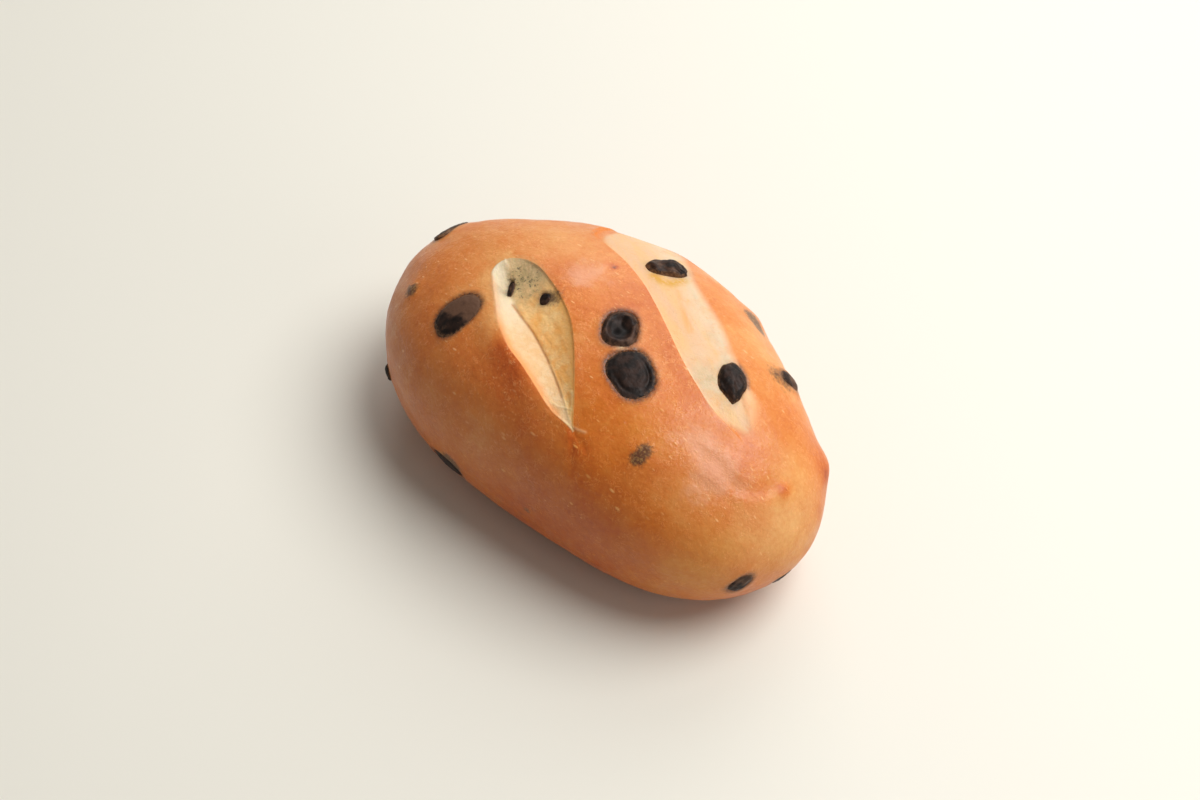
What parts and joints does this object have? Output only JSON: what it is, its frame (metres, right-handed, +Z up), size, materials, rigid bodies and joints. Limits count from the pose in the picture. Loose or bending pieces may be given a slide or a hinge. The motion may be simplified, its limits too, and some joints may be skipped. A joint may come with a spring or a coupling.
{
  "type": "chocolate vienna bread",
  "caption": "Small oval bread roll with two slanting slashes in its top and chocolate chips set in its browned crust.",
  "frame": {"origin": "on the flat base, under the middle of the box around the part", "axes": "+X along the roll's length, towards the end that the slashes point to, +Z up"},
  "size_m": [0.1088, 0.068, 0.0467],
  "materials": {
    "crust": "satin baked crust, paler in the slashes",
    "chocolate": "dark baked chocolate, half matte"
  },
  "bodies": {
    "root": {"loaf": "crust", "chip_01": "chocolate", "chip_02": "chocolate", "chip_03": "chocolate", "chip_04": "chocolate", "chip_05": "chocolate", "chip_06": "chocolate", "chip_07": "chocolate", "chip_08": "chocolate", "chip_09": "chocolate", "chip_10": "chocolate", "chip_11": "chocolate", "chip_12": "chocolate", "chip_13": "chocolate", "chip_14": "chocolate", "chip_15": "chocolate", "chip_16": "chocolate", "chip_17": "chocolate", "chip_18": "chocolate"}
  },
  "joints": []
}
